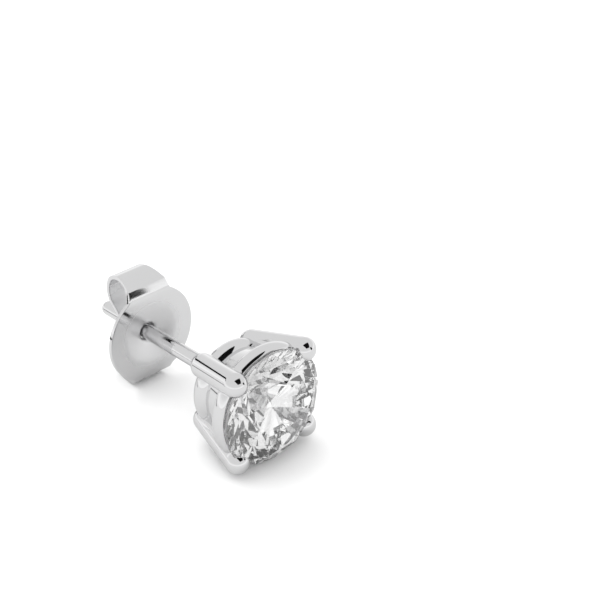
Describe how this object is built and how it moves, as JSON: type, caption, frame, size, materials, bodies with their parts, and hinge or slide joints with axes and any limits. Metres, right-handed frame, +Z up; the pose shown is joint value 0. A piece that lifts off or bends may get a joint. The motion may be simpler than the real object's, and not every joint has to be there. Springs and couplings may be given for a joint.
{
  "type": "stud earring",
  "caption": "Four-prong basket stud earring with a round faceted stone, a straight post and a butterfly friction back that slides on it.",
  "frame": {"origin": "middle of the earring's length and width, at the level of the table that it lies on", "axes": "+Y along the post from the stone to the post's end, +Z up from the table, +X to the side"},
  "size_m": [0.0066, 0.0152, 0.0068],
  "materials": {
    "polished_metal": "polished white gold",
    "clear_gem": "faceted clear stone",
    "satin_metal": "pressed white gold sheet, soft polish"
  },
  "bodies": {
    "stud": {"setting": "polished_metal", "stone": "clear_gem"},
    "back": {"clutch": "satin_metal"}
  },
  "joints": [
    {"name": "clutch_slide", "type": "slide", "parent": "stud", "child": "back", "axis": [0, 1, 0], "range_m": [-0.0055, 0.0033]}
  ]
}
